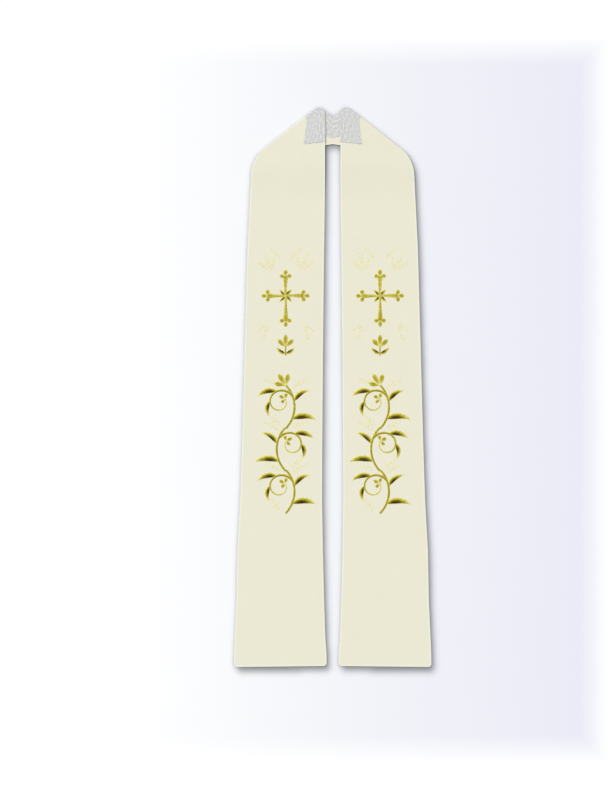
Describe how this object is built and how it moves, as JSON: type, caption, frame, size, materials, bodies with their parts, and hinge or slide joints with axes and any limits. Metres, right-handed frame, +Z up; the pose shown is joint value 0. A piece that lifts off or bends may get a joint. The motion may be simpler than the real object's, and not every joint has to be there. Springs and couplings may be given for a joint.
{
  "type": "clerical stole",
  "caption": "Ivory clerical stole laid flat, fronts folded at the shoulders over the neck band, with lace neck guard and raised gold embroidery",
  "frame": {"origin": "on the surface the stole lies on, under the middle of its bounding box", "axes": "+X to the right as seen from above with the neck away from the viewer, +Y from the hem to the neck, +Z up off the surface, out of the face of the cloth"},
  "size_m": [0.4058, 1.15, 0.0098],
  "materials": {
    "ivory_cloth": "fine plain weave, ivory, soft sheen",
    "lace": "grey-white cotton lace, matt, ribbed",
    "gold_thread": "metallic gold satin stitch with dark shading"
  },
  "bodies": {
    "root": {"left_front": "ivory_cloth", "right_front": "ivory_cloth", "left_shoulder": "ivory_cloth", "right_shoulder": "ivory_cloth", "neck_band": "ivory_cloth", "neck_lace": "lace", "left_cross": "gold_thread", "left_sprig": "gold_thread", "left_scroll_low": "gold_thread", "left_scroll_middle": "gold_thread", "left_scroll_top": "gold_thread", "right_cross": "gold_thread", "right_sprig": "gold_thread", "right_scroll_low": "gold_thread", "right_scroll_middle": "gold_thread", "right_scroll_top": "gold_thread"}
  },
  "joints": []
}
